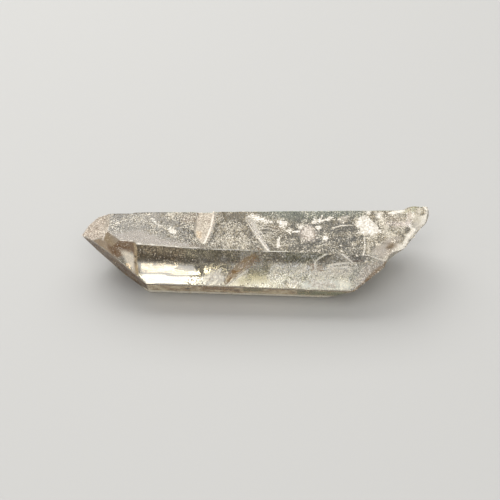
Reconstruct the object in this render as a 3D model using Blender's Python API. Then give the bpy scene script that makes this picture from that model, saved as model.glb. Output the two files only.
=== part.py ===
"""Chlorite quartz: one natural crystal point, lying on a prism face.

The c axis runs along X, from the natural termination at -X to the broken end at +X.
-Y is the front, and the crystal rests on Z = 0 with its base face.
The body is a block cut by the true faces of quartz: six prism faces that taper a little,
six rhombohedral faces at the point and two small corner faces. A raised lip is joined on,
and the break, growth ledges, a blade-shaped scar, a rod-shaped imprint, conchoidal scoops
and edge chips are then cut from it.
"""

import math
import random

import bmesh
import bpy
from mathutils import Matrix, Vector

MM = 0.001

# The c axis runs this far above the face that the crystal rests on.
AXIS_HEIGHT = 6.2

# Prism faces: the direction they look in, in degrees round the c axis from the front,
# and their distance from the axis, in mm, at the stations near the point and near the break.
STATION = 33.0
PRISM_FACES = {
    "top": (90.0, 6.4, 5.2),
    "front_upper": (30.0, 7.7, 8.3),
    "front_upper_near_point": (33.0, 6.75, 10.3),
    "front_lower": (-30.0, 7.65, 9.2),
    "base": (-90.0, 6.2, 6.2),
    "back_lower": (210.0, 6.6, 7.6),
    "back_upper": (150.0, 5.8, 8.0),
    "worn_front_edge": (-62.0, 7.78, 8.42),
}

# Faces of the point: the prism face that they lean from, how far they lean towards the point,
# and their distance from the centre of the axis, in mm. Rhombohedral faces of quartz lean
# 38.2 degrees, and the small trigonal faces between two of them lean 24.5.
RHOMB_LEAN = 38.2
TRIGONAL_LEAN = 24.5
POINT_FACES = {
    "large_rhomb_top": (90.0, RHOMB_LEAN, 21.3),
    "large_rhomb_front": (-30.0, RHOMB_LEAN, 18.1),
    "large_rhomb_back": (210.0, RHOMB_LEAN, 20.4),
    "small_rhomb_front": (30.0, RHOMB_LEAN, 20.95),
    "small_rhomb_back": (150.0, RHOMB_LEAN, 22.5),
    "small_rhomb_under": (-90.0, RHOMB_LEAN, 19.8),
    "trigonal_front": (60.0, TRIGONAL_LEAN, 16.7),
    "trigonal_back": (120.0, TRIGONAL_LEAN, 17.25),
}

# Break faces: the direction they look in, in plan, in degrees from +X towards the front,
# how steeply they look down, and their distance from the centre of the axis, in mm.
BREAK_FACES = {
    "undercut": (32.8, 38.8, 17.5),
    "undercut_corner": (51.6, 47.1, 14.1),
    "blunt_tip": (12.0, -9.0, 32.5),
    "blunt_shoulder": (-16.0, -15.0, 34.6),
}

# Growth ledges: the prism face, the place of the riser along the axis in mm, the depth in mm,
# the lean of the riser, and the side of it that lies lower: -1 towards the point, +1 the break.
GROWTH_LEDGES = (
    ("front_upper_near_point", -21.2, 0.42, RHOMB_LEAN, -1),
    ("back_upper", -22.0, 0.25, RHOMB_LEAN, -1),
    ("back_lower", -9.5, 0.26, RHOMB_LEAN, -1),
)

# The scar on the top face that another crystal left: its outline, in mm in plan.
SCAR_OUTLINE = (
    (-9.9, 4.6),
    (-7.0, 4.6),
    (-6.8, 2.0),
    (-7.2, -0.6),
    (-7.7, -2.7),
    (-8.2, -4.2),
    (-8.8, -4.4),
    (-9.7, -3.0),
    (-10.3, -1.1),
    (-10.2, 1.6),
)
SCAR_MIDDLE_X = -8.5
SCAR_DEPTH = 0.30
SCAR_TILT = 1.6
SCAR_HALF_HEIGHT = 2.0

# The rod-shaped imprint on the top face: its ends in plan, its width and its depth, in mm.
ROD_FROM = (-0.7, 3.1)
ROD_TO = (3.3, -5.9)
ROD_RADIUS = 0.42
ROD_DEPTH = 0.30
ROD_SIDES = 6

# The triangular ledge on the upper front face: its top on the ridge, its two feet on the face,
# its depth at the top and how far down the face its floor rises to the surface, in mm,
# and how much its walls lean outwards, as a share of their height.
TRIANGLE_TOP = (15.9, -6.1, 11.8)
TRIANGLE_LEFT = (12.6, -7.6, 9.3)
TRIANGLE_RIGHT = (19.6, -7.3, 9.9)
TRIANGLE_DEPTH = 0.22
TRIANGLE_REACH = 3.0
TRIANGLE_WALL_LEAN = 0.5

# Conchoidal scoops: a point on the surface, the direction that the hollow faces,
# the radius of its sphere and its depth, in mm.
SCOOPS = (
    ((27.2, 2.2, 5.9), (0.69, -0.36, -0.63), 21.0, 0.62),
    ((21.4, -4.0, 3.0), (0.58, -0.44, -0.69), 15.0, 0.34),
    ((30.4, 7.0, 7.2), (0.75, -0.14, -0.65), 9.0, 0.30),
    ((21.6, 3.4, 1.6), (0.64, -0.26, -0.72), 13.0, 0.30),
    ((26.2, -6.0, 10.2), (0.80, -0.46, -0.38), 3.6, 0.55),
    ((31.0, -0.5, 11.4), (0.22, -0.18, 0.96), 20.0, 0.34),
    ((25.6, -3.8, 11.5), (0.10, -0.30, 0.95), 14.0, 0.24),
    ((22.8, 8.6, 6.4), (0.15, 0.96, 0.06), 6.0, 0.42),
    ((-30.4, 2.4, 5.6), (-0.70, 0.30, -0.60), 4.0, 0.22),
)
SCOOP_RINGS = 44

# The raised lip at the top of the broken end, which grew out past the top and back faces:
# each of its faces as the direction round the axis, the lean to the point, both in degrees,
# and a point on it in mm. The last four close it where it is sunk in the crystal or broken off.
LIP_FACES = (
    (90.0, 0.0, (32.0, 4.0, 12.15)),
    (150.0, 0.0, (32.0, 6.54, 12.15)),
    (90.0, 26.0, (29.5, 4.0, 11.42)),
    (150.0, 22.0, (28.8, 6.2, 11.42)),
    (66.0, 0.0, (32.0, 0.8, 11.42)),
    (185.0, 0.0, (32.0, 8.66, 7.2)),
    (-90.0, 0.0, (32.0, 4.0, 6.7)),
    (0.0, 0.0, (32.0, -1.0, 8.0)),
    (0.0, 90.0, (24.0, 0.0, 8.0)),
    (0.0, -90.0, (38.0, 0.0, 8.0)),
)
LIP_ROUNDING = 0.4
LIP_ROUNDING_STEPS = 3

# Chips along the edges: the two faces that share the edge, the stretch along X that they
# lie on, how many there are, and their smallest and largest radius, in mm. A chip's centre
# stands off the edge by this share of its radius, and it is drawn out along the edge.
EDGE_CHIPS = (
    ("top", "front_upper", (-6.0, 24.0), 13, 0.22, 0.62),
    ("top", "front_upper_near_point", (-19.0, -9.0), 5, 0.18, 0.34),
    ("top", "back_upper", (-20.0, 27.0), 9, 0.20, 0.55),
    ("front_upper", "front_lower", (-14.0, 17.0), 7, 0.16, 0.40),
    ("back_upper", "back_lower", (-20.0, 28.0), 8, 0.25, 0.70),
    ("back_lower", "base", (-20.0, 19.0), 6, 0.20, 0.50),
)
CHIP_SINK = 0.62
CHIP_STRETCH = (1.1, 2.0)

# Pits on the faces: a point on the surface and the radius, in mm.
PITS = (
    ((-13.5, 3.6, 12.25), 0.26),
    ((-16.4, 1.2, 12.3), 0.20),
    ((7.8, -3.3, 11.85), 0.24),
    ((17.4, 3.4, 11.65), 0.30),
    ((-11.0, -8.9, 5.6), 0.24),
    ((-2.5, -8.6, 3.6), 0.26),
)
PIT_RINGS = 6

SEED = 7
BLOCK_SIZE = 120.0

# Points closer than these, in mm, count as one when a block is cut and when an outline is closed.
CUT_TOLERANCE = 1e-6
CLOSING_TOLERANCE = 1e-3


def face_direction(elevation, lean=0.0):
    """The outward direction of a face, from its place round the axis and its lean to the point."""
    around = math.radians(elevation)
    tilt = math.radians(lean)
    return Vector(
        (
            -math.sin(tilt),
            -math.cos(around) * math.cos(tilt),
            math.sin(around) * math.cos(tilt),
        )
    )


def prism_plane(name):
    """(outward direction, distance from the centre of the axis) of a prism face, in mm."""
    elevation, near_point, near_break = PRISM_FACES[name]
    outward = face_direction(elevation)
    slope = (near_break - near_point) / (2 * STATION)
    normal = (outward - Vector((slope, 0, 0))).normalized()
    on_face = Vector((-STATION, 0, 0)) + outward * near_point
    return normal, normal.dot(on_face)


def point_plane(name):
    elevation, lean, distance = POINT_FACES[name]
    return face_direction(elevation, lean), distance


def break_plane(name):
    turn, down, distance = BREAK_FACES[name]
    turn = math.radians(turn)
    down = math.radians(down)
    normal = Vector(
        (
            math.cos(turn) * math.cos(down),
            -math.sin(turn) * math.cos(down),
            -math.sin(down),
        )
    )
    return normal, distance


def edge_point(first, second, x):
    """The point at x where two prism faces meet, in mm from the centre of the axis."""
    (n1, d1), (n2, d2) = prism_plane(first), prism_plane(second)
    rows = Matrix((n1, n2, Vector((1, 0, 0))))
    return rows.inverted() @ Vector((d1, d2, x))


def cut_by_plane(mesh, normal, distance):
    """Take away what lies beyond the plane, and close the cut with one flat face."""
    cut = bmesh.ops.bisect_plane(
        mesh,
        geom=mesh.verts[:] + mesh.edges[:] + mesh.faces[:],
        dist=CUT_TOLERANCE * MM,
        plane_co=normal * distance * MM,
        plane_no=normal,
        clear_outer=True,
    )
    rim = [part for part in cut["geom_cut"] if isinstance(part, bmesh.types.BMEdge)]
    if rim:
        bmesh.ops.contextual_create(mesh, geom=rim)


def cut_block(planes):
    """A large cube cut back by each (outward direction, distance) in turn."""
    mesh = bmesh.new()
    bmesh.ops.create_cube(mesh, size=BLOCK_SIZE * MM)
    for normal, distance in planes:
        cut_by_plane(mesh, normal, distance)
    bmesh.ops.recalc_face_normals(mesh, faces=mesh.faces[:])
    return mesh


def new_object(name, mesh, collection):
    """An object in the collection, with the bmesh as its mesh."""
    data = bpy.data.meshes.new(name)
    mesh.to_mesh(data)
    mesh.free()
    made = bpy.data.objects.new(name, data)
    collection.objects.link(made)
    return made


def as_cutter(made):
    made.hide_render = True
    made.display_type = "WIRE"
    return made


def sphere_mesh(centre, radius, rings):
    mesh = bmesh.new()
    place = Matrix.Translation(Vector(centre) * MM)
    bmesh.ops.create_uvsphere(
        mesh,
        u_segments=2 * rings,
        v_segments=rings,
        radius=radius * MM,
        matrix=place,
    )
    return mesh


def ledge_mesh(face, along, depth, lean, lower_side):
    """The layer that is missing from a prism face on one side of a leaning riser."""
    normal, distance = prism_plane(face)
    floor = (-normal, -(distance - depth))
    riser = face_direction(PRISM_FACES[face][0], lean)
    if lower_side > 0:
        riser.x = -riser.x
    foot = Vector((along, 0, 0))
    foot += normal * (distance - depth - normal.dot(foot))
    return cut_block([floor, (-riser, -riser.dot(foot))])


def top_point(x, y):
    """The point of the top face over (x, y), in mm from the centre of the axis."""
    normal, distance = prism_plane("top")
    return Vector((x, y, (distance - normal.x * x - normal.y * y) / normal.z))


def scar_mesh():
    """A blade-shaped prism with its flat end sunk in the top face, deepest at the back."""
    outline = bpy.data.curves.new("scar_outline", "CURVE")
    outline.dimensions = "2D"
    outline.fill_mode = "BOTH"
    outline.extrude = SCAR_HALF_HEIGHT * MM
    line = outline.splines.new("POLY")
    line.points.add(len(SCAR_OUTLINE) - 1)
    for point, (x, y) in zip(line.points, SCAR_OUTLINE):
        point.co = ((x - SCAR_MIDDLE_X) * MM, y * MM, 0, 1)
    line.use_cyclic_u = True
    helper = bpy.data.objects.new("scar_outline", outline)
    bpy.context.scene.collection.objects.link(helper)
    bpy.context.view_layer.update()
    graph = bpy.context.evaluated_depsgraph_get()
    solid = bpy.data.meshes.new_from_object(helper.evaluated_get(graph))
    bpy.data.objects.remove(helper)
    mesh = bmesh.new()
    mesh.from_mesh(solid)
    bmesh.ops.remove_doubles(mesh, verts=mesh.verts[:], dist=CLOSING_TOLERANCE * MM)
    bmesh.ops.recalc_face_normals(mesh, faces=mesh.faces[:])
    rise = Vector((0, 0, SCAR_HALF_HEIGHT - SCAR_DEPTH))
    place = Matrix.Translation((top_point(SCAR_MIDDLE_X, 0) + rise) * MM)
    turn = Matrix.Rotation(math.radians(-SCAR_TILT), 4, "X")
    mesh.transform(place @ turn)
    return mesh


def rod_mesh():
    """A six-sided rod lying in the top face, sunk to the depth of its imprint."""
    rise = Vector((0, 0, ROD_RADIUS - ROD_DEPTH))
    ends = [top_point(*ROD_FROM) + rise, top_point(*ROD_TO) + rise]
    span = ends[1] - ends[0]
    mesh = bmesh.new()
    place = Matrix.Translation((ends[0] + ends[1]) / 2 * MM)
    turn = span.to_track_quat("Z", "Y").to_matrix().to_4x4()
    bmesh.ops.create_cone(
        mesh,
        cap_ends=True,
        segments=ROD_SIDES,
        radius1=ROD_RADIUS * MM,
        radius2=ROD_RADIUS * MM,
        depth=span.length * MM,
        matrix=place @ turn,
    )
    return mesh


def scoop_mesh(point, facing, radius, depth):
    """A sphere that takes a shallow dish out of the surface at the point."""
    away = Vector(facing).normalized()
    centre = Vector(point) - Vector((0, 0, AXIS_HEIGHT)) + away * (radius - depth)
    return sphere_mesh(centre, radius, SCOOP_RINGS)


def triangle_mesh():
    """A shallow wedge under the ridge, with two leaning walls that meet at the top."""
    lift = Vector((0, 0, AXIS_HEIGHT))
    top, left, right = (
        Vector(point) - lift for point in (TRIANGLE_TOP, TRIANGLE_LEFT, TRIANGLE_RIGHT)
    )
    normal, distance = prism_plane("front_upper")
    downhill = ((left + right) / 2 - top).normalized()
    rise = math.atan2(TRIANGLE_DEPTH, TRIANGLE_REACH)
    floor = (normal * math.cos(rise) - downhill * math.sin(rise)).normalized()
    deepest = top + normal * (distance - TRIANGLE_DEPTH - normal.dot(top))
    planes = [(-floor, -floor.dot(deepest))]
    for foot, side in ((left, -1), (right, 1)):
        wall = (foot - top).cross(normal).normalized()
        if wall.x * side < 0:
            wall = -wall
        wall = (wall + normal * TRIANGLE_WALL_LEAN).normalized()
        planes.append((wall, wall.dot(deepest)))
    return cut_block(planes)


def chip_mesh(point, radius, rng):
    """A small angular lump, turned at random, that bites into an edge."""
    mesh = bmesh.new()
    turn = Matrix.Rotation(rng.uniform(0, math.tau), 4, "X")
    turn @= Matrix.Rotation(rng.uniform(0, math.tau), 4, "Z")
    stretch = Matrix.Diagonal((rng.uniform(*CHIP_STRETCH), 1.0, 1.0, 1.0))
    place = Matrix.Translation(point * MM)
    bmesh.ops.create_icosphere(
        mesh, subdivisions=1, radius=radius * MM, matrix=place @ stretch @ turn
    )
    return mesh


def lip_mesh():
    """The low rounded block that stands proud of the top and back faces at the broken end."""
    lift = Vector((0, 0, AXIS_HEIGHT))
    planes = []
    for elevation, lean, point in LIP_FACES:
        outward = face_direction(elevation, lean)
        planes.append((outward, outward.dot(Vector(point) - lift)))
    mesh = cut_block(planes)
    bmesh.ops.bevel(
        mesh,
        geom=mesh.edges[:],
        offset=LIP_ROUNDING * MM,
        segments=LIP_ROUNDING_STEPS,
        profile=0.5,
        affect="EDGES",
        clamp_overlap=True,
    )
    return mesh


def add_boolean(made, name, operation, other):
    step = made.modifiers.new(name, "BOOLEAN")
    step.operation = operation
    step.solver = "EXACT"
    step.object = other


def quartz_material():
    """Clear quartz with a faint grey-green tint from fine chlorite."""
    material = bpy.data.materials.new("quartz")
    material.use_nodes = True
    shader = material.node_tree.nodes["Principled BSDF"]
    shader.inputs["Base Color"].default_value = (0.80, 0.81, 0.75, 1.0)
    shader.inputs["Roughness"].default_value = 0.12
    shader.inputs["Metallic"].default_value = 0.0
    shader.inputs["IOR"].default_value = 1.544
    shader.inputs["Transmission Weight"].default_value = 1.0
    return material


def body_mesh():
    """The crystal with its flat faces, before anything is broken or cut from it."""
    planes = [prism_plane(name) for name in PRISM_FACES]
    planes += [point_plane(name) for name in POINT_FACES]
    return cut_block(planes)


def break_mesh(name):
    """Everything beyond one face of the break."""
    normal, distance = break_plane(name)
    return cut_block([(-normal, -distance)])


def cutter_meshes(rng):
    """(name, mesh) of each shape that is cut from the crystal."""
    for name in BREAK_FACES:
        yield name, break_mesh(name)
    for number, ledge in enumerate(GROWTH_LEDGES, 1):
        yield f"growth_ledge_{number}", ledge_mesh(*ledge)
    yield "triangular_ledge", triangle_mesh()
    yield "scar", scar_mesh()
    yield "rod_imprint", rod_mesh()
    for number, scoop in enumerate(SCOOPS, 1):
        yield f"scoop_{number}", scoop_mesh(*scoop)
    number = 0
    for first, second, (start, end), count, smallest, largest in EDGE_CHIPS:
        for _ in range(count):
            number += 1
            radius = rng.uniform(smallest, largest)
            point = edge_point(first, second, rng.uniform(start, end))
            outward = Vector((0, point.y, point.z)).normalized()
            yield (
                f"chip_{number}",
                chip_mesh(point + outward * radius * CHIP_SINK, radius, rng),
            )
    for number, (point, radius) in enumerate(PITS, 1):
        centre = Vector(point) - Vector((0, 0, AXIS_HEIGHT))
        yield f"pit_{number}", sphere_mesh(centre, radius, PIT_RINGS)


def stand_on_origin(frame, crystal):
    """Move everything so that the base rests on Z = 0 and the origin is under the middle."""
    frame.location = (0, 0, AXIS_HEIGHT * MM)
    bpy.context.view_layer.update()
    graph = bpy.context.evaluated_depsgraph_get()
    solid = crystal.evaluated_get(graph)
    corners = [solid.matrix_world @ Vector(corner) for corner in solid.bound_box]
    for axis in (0, 1):
        sides = [corner[axis] for corner in corners]
        frame.location[axis] = -(min(sides) + max(sides)) / 2
    bpy.context.view_layer.update()


def main():
    for old in list(bpy.data.objects):
        bpy.data.objects.remove(old)
    rng = random.Random(SEED)
    parts = bpy.data.collections.new("chlorite_quartz")
    cutters = bpy.data.collections.new("cutters")
    for collection in (parts, cutters):
        bpy.context.scene.collection.children.link(collection)
    frame = bpy.data.objects.new("crystal_frame", None)
    parts.objects.link(frame)

    crystal = new_object("crystal", body_mesh(), parts)
    crystal.parent = frame
    crystal.data.materials.append(quartz_material())
    lip = as_cutter(new_object("raised_lip", lip_mesh(), cutters))
    lip.parent = frame
    add_boolean(crystal, "raised_lip", "UNION", lip)
    for name, mesh in cutter_meshes(rng):
        cutter = as_cutter(new_object(name, mesh, cutters))
        cutter.parent = frame
        add_boolean(crystal, name, "DIFFERENCE", cutter)
    stand_on_origin(frame, crystal)


main()
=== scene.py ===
"""Chlorite quartz: the looks of one natural crystal point, lying on a prism face.

The crystal is clear quartz with a faint grey-green tint. Sugar-like frosting, white veils, fine
chlorite dust and iron stains lie on its faces and just under them.
"""

import logging
import math
from dataclasses import dataclass
from enum import Enum

import bpy
import numpy as np
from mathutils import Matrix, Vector, noise
from mathutils.bvhtree import BVHTree


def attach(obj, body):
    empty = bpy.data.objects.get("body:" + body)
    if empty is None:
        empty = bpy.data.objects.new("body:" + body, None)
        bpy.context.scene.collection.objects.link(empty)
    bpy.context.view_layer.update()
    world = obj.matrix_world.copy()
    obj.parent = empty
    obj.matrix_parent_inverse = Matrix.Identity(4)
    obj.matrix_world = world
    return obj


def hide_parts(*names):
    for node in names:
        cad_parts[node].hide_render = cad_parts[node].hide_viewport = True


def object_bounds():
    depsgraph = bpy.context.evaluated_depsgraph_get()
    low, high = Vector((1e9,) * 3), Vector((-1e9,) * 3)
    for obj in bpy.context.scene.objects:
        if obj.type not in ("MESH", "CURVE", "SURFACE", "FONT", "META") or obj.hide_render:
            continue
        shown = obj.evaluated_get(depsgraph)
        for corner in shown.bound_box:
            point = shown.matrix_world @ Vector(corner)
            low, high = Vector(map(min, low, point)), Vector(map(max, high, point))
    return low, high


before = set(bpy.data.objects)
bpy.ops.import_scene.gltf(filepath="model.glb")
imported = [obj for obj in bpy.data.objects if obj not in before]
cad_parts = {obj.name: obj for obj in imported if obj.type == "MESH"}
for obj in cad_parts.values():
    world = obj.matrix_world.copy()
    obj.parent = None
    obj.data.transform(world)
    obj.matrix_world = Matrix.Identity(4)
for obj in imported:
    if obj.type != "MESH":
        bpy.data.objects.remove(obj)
CAD_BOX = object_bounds()

log = logging.getLogger("chlorite_quartz")

MM = 0.001
NODE = "crystal"
BODY = "root"

# Places are given in mm in the axis frame: x along the crystal to the break, y to the back,
# z up from the face that it rests on. These are the tip of the point, the foremost edge and
# the height of the c axis there.
TIP_X = -32.24
FRONT_Y = -9.84
AXIS_HEIGHT = 6.2

# Cosines of the angle between the skin's direction and another one, lowest and highest: where a
# mark fades out as the skin turns away from the side that it is drawn from, where the crumbs
# round a flake do, where a face turns into a worn edge, and where a long edge turns into a face.
MARK_FADE = (0.5, 0.66)
CRUMB_FADE = (0.6, 0.8)
FACE_FADE = (0.955, 0.985)
EDGE_FADE = (0.95, 0.98)

# How far the skin has to look to +X to begin to count as the break, and to count fully.
BREAK_FADE = (0.12, 0.35)

# A round mark is a line of this length, and a ray looks for the skin from this far off, in mm.
SPOT_MM = 0.05
RAY_MM = 40.0

QUARTZ_IOR = 1.544

Point = tuple[float, float]
Outline = tuple[Point, ...]


def axis_origin() -> np.ndarray:
    """The axis frame's origin, in metres in the model's frame."""
    low = CAD_BOX[0]
    return np.array((low.x - TIP_X * MM, low.y - FRONT_Y * MM, 0.0))


def to_model(points: np.ndarray) -> np.ndarray:
    """Points in mm in the axis frame, in metres in the model's frame."""
    return np.asarray(points, dtype=float) * MM + axis_origin()


def to_axis(points: np.ndarray) -> np.ndarray:
    """Points in metres in the model's frame, in mm in the axis frame."""
    return (points - axis_origin()) / MM


def in_box(points: np.ndarray) -> np.ndarray:
    """Points in the model's frame, held a hair inside the box of the solid."""
    hair = 0.005 * MM
    return np.clip(points, np.array(CAD_BOX[0]) + hair, np.array(CAD_BOX[1]) - hair)


def linear(hex_colour: str) -> tuple[float, float, float, float]:
    """Turn an sRGB colour into a linear one.

    Args:
        hex_colour: a value such as #d8c8b8.

    Returns:
        The linear red, green and blue, and 1 for opaque.
    """
    channels = [int(hex_colour[i : i + 2], 16) / 255 for i in (1, 3, 5)]
    straight = [c / 12.92 if c <= 0.04045 else ((c + 0.055) / 1.055) ** 2.4 for c in channels]
    return (*straight, 1.0)


def per_metre(size_mm: float) -> float:
    """The scale of a pattern whose cells are this large, for coordinates in metres."""
    return 1.0 / (size_mm * MM)


def smoothstep(low: float, high: float, value: np.ndarray) -> np.ndarray:
    """0 below low, 1 above high, and a smooth rise between them."""
    share = np.clip((value - low) / (high - low), 0.0, 1.0)
    return share * share * (3.0 - 2.0 * share)


@dataclass(frozen=True)
class Cloud:
    """A smooth random pattern: its middle value, and its waves of strength, size in mm and seed."""

    middle: float
    waves: tuple[tuple[float, float, float], ...]

    def at(self, points: np.ndarray) -> np.ndarray:
        """Read the pattern.

        Args:
            points: n points of 3 numbers, in mm.

        Returns:
            One number for each point.
        """
        value = np.full(len(points), self.middle)
        for strength, wave_mm, seed in self.waves:
            moved = points / wave_mm + seed
            value += strength * np.array([noise.noise(point) for point in moved.tolist()])
        return value


# The skin's slow swell, its fine and its coarse relief, its sugary patches and its mottled stains.
SWELL = Cloud(0.5, ((0.5, 3.2, 5.0),))
FINE_RELIEF = Cloud(0.5, ((0.5, 0.42, 11.0),))
COARSE_RELIEF = Cloud(0.5, ((0.5, 1.3, 17.0),))
SUGAR_PATCHES = Cloud(0.45, ((1.1, 2.4, 3.0), (0.6, 0.9, 8.0)))
STAIN_MOTTLE = Cloud(0.6, ((0.7, 1.4, 21.0), (0.5, 0.45, 29.0)))

# How thickly grains lie, and a flake's ragged rim, its holes and its uneven lift.
GRAIN_CLOUD = Cloud(0.35, ((1.5, 2.0, 31.0), (0.9, 0.7, 37.0)))
FLAKE_RIM = Cloud(0.0, ((1.0, 0.75, 51.0), (1.6, 0.28, 57.0)))
FLAKE_HOLES = Cloud(0.0, ((1.0, 0.42, 63.0),))
FLAKE_LIFT = Cloud(0.7, ((0.6, 0.5, 61.0),))

# The inner fracture's crumples, its lace and its tones.
FRACTURE_CRUMPLE = Cloud(0.0, ((1.0, 0.8, 71.0), (0.5, 0.3, 73.0)))
FRACTURE_LACE = Cloud(0.0, ((1.0, 0.55, 79.0), (0.6, 0.2, 83.0)))
FRACTURE_TONE = Cloud(0.35, ((0.5, 0.7, 89.0),))


def line_distance(points: np.ndarray, line: Outline, closed: bool = False) -> np.ndarray:
    """The distance of each flat point from a line of straight stretches.

    Args:
        points: n points of 2 numbers.
        line: the line's corners.
        closed: whether the last corner joins the first.

    Returns:
        One distance for each point.
    """
    corners = np.array(line, dtype=float)
    ends = np.roll(corners, -1, axis=0)
    if not closed:
        corners, ends = corners[:-1], ends[:-1]
    nearest = np.full(len(points), np.inf)
    for start, end in zip(corners, ends):
        span = end - start
        share = np.clip((points - start) @ span / (span @ span), 0.0, 1.0)
        gap = np.linalg.norm(points - start - share[:, None] * span, axis=1)
        nearest = np.minimum(nearest, gap)
    return nearest


def inside_depth(points: np.ndarray, outline: Outline) -> np.ndarray:
    """How far inside a closed outline each flat point lies.

    Args:
        points: n points of 2 numbers.
        outline: the outline's corners.

    Returns:
        One distance for each point, negative outside.
    """
    inside = np.zeros(len(points), dtype=bool)
    x, y = points[:, 0], points[:, 1]
    for (ax, ay), (bx, by) in zip(outline, outline[1:] + outline[:1]):
        if ay == by:
            continue
        crosses = (ay > y) != (by > y)
        inside ^= crosses & (x < ax + (y - ay) * (bx - ax) / (by - ay))
    away = line_distance(points, outline, closed=True)
    return np.where(inside, away, -away)


@dataclass(frozen=True)
class Sites:
    """Places on the skin in mm, and the outward direction at each."""

    points: np.ndarray
    normals: np.ndarray


class View(Enum):
    """The side that a mark is drawn from: the columns of its flat points, and where it looks from."""

    ABOVE = ((0, 1), (0.0, 0.0, 1.0))
    FRONT = ((0, 2), (0.0, -1.0, 0.0))

    def flat(self, points: np.ndarray) -> np.ndarray:
        """The points as this side sees them."""
        return points[:, list(self.value[0])]

    def facing(self, normals: np.ndarray) -> np.ndarray:
        """How far each direction looks to this side, from 0 to 1."""
        return smoothstep(*MARK_FADE, normals @ np.array(self.value[1]))

    def near(self, normals: np.ndarray) -> np.ndarray:
        """1 where the direction looks to this side, and almost 0 elsewhere, to divide by."""
        return np.maximum(smoothstep(*CRUMB_FADE, normals @ np.array(self.value[1])), 0.01)


Outlines = tuple[tuple[Outline, View], ...]


class Face(Enum):
    """The crystal's faces: place round the c axis from the front, and lean to the point, in degrees."""

    TOP = (90.0, 0.0)
    FRONT_UPPER = (30.0, 0.0)
    FRONT_LOWER = (-30.0, 0.0)
    BASE = (-90.0, 0.0)
    BACK_LOWER = (210.0, 0.0)
    BACK_UPPER = (150.0, 0.0)
    RHOMB_TOP = (90.0, 38.2)
    RHOMB_FRONT = (-30.0, 38.2)
    RHOMB_BACK = (210.0, 38.2)
    SMALL_FRONT = (30.0, 38.2)
    SMALL_BACK = (150.0, 38.2)
    SMALL_UNDER = (-90.0, 38.2)
    TRIGONAL_FRONT = (60.0, 24.5)
    TRIGONAL_BACK = (120.0, 24.5)

    def direction(self) -> np.ndarray:
        """Find where the face looks to.

        Returns:
            Its outward direction.
        """
        around, tilt = (math.radians(angle) for angle in self.value)
        flat = math.cos(tilt)
        return np.array((-math.sin(tilt), -math.cos(around) * flat, math.sin(around) * flat))

    def weight(self, at: Sites) -> np.ndarray:
        """How far each site belongs to this face, from 0 to 1."""
        return smoothstep(*FACE_FADE, at.normals @ self.direction())


def any_face(at: Sites) -> np.ndarray:
    """How far each site belongs to some face, from 0 to 1, where 0 is a worn edge."""
    return np.max([face.weight(at) for face in Face], axis=0)


def edge_share(at: Sites, around: float) -> np.ndarray:
    """How far each site belongs to the long edge at this place round the c axis, from 0 to 1."""
    angle = math.radians(around)
    return smoothstep(*EDGE_FADE, at.normals @ np.array((0.0, -math.cos(angle), math.sin(angle))))


def broken_share(at: Sites) -> np.ndarray:
    """How far each site belongs to the break, from 0 to 1: all of it looks to +X."""
    return smoothstep(*BREAK_FADE, at.normals[:, 0])


@dataclass(frozen=True)
class Area:
    """A soft-edged area on the skin, drawn as a closed outline in mm from one side."""

    outline: Outline
    view: View
    edge_mm: float

    def weight(self, at: Sites) -> np.ndarray:
        """How far each site lies in the area, from 0 to 1."""
        depth = inside_depth(self.view.flat(at.points), self.outline)
        return smoothstep(-self.edge_mm, self.edge_mm, depth) * self.view.facing(at.normals)


@dataclass(frozen=True)
class Stroke:
    """A soft line on the skin, drawn in mm from one side."""

    line: Outline
    width_mm: float
    view: View

    def weight(self, at: Sites) -> np.ndarray:
        """How far each site lies on the line.

        Args:
            at: the skin's sites.

        Returns:
            One share for each point, from 0 to 1.
        """
        gap = line_distance(self.view.flat(at.points), self.line)
        half = self.width_mm / 2
        return (1.0 - smoothstep(half * 0.5, half * 1.5, gap)) * self.view.facing(at.normals)


@dataclass(frozen=True)
class Coat:
    """A stain, a film or a milky patch in the skin.

    Milk is the share of the light that it scatters: 0 leaves clear glass with a tint, and 1 is
    opaque. Broken is how far the mottle eats holes in it: over 1, it eats them right through.
    """

    shade: str
    milk: float
    broken: float
    places: tuple[Area | Stroke, ...]

    def weight(self, at: Sites, mottle: np.ndarray) -> np.ndarray:
        """How far each site has this coat, from 0 to 1."""
        held = np.max([place.weight(at) for place in self.places], axis=0)
        return held * np.clip(1.0 - self.broken * (1.0 - mottle), 0.0, 1.0)


def area_above(*outline: Point, edge: float = 0.5) -> Area:
    """An area drawn from above, by the x and y of its corners."""
    return Area(outline, View.ABOVE, edge)


def area_front(*outline: Point, edge: float = 0.5) -> Area:
    """An area drawn from the front, by the x and z of its corners."""
    return Area(outline, View.FRONT, edge)


def line_above(width: float, *line: Point) -> Stroke:
    """A line drawn from above, by its width and the x and y of its corners."""
    return Stroke(line, width, View.ABOVE)


def line_front(width: float, *line: Point) -> Stroke:
    """A line drawn from the front, by its width and the x and z of its corners."""
    return Stroke(line, width, View.FRONT)


def spots(*places: tuple[float, float, float], view: View = View.ABOVE) -> tuple[Stroke, ...]:
    """Round marks on the skin, each given by its two flat places and its width in mm."""
    return tuple(Stroke(((a, b), (a + SPOT_MM, b)), width, view) for a, b, width in places)


def coat(shade: str, milk: float, broken: float, *places: Area | Stroke) -> Coat:
    """A coat that lies in these places."""
    return Coat(shade, milk, broken, places)


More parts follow.
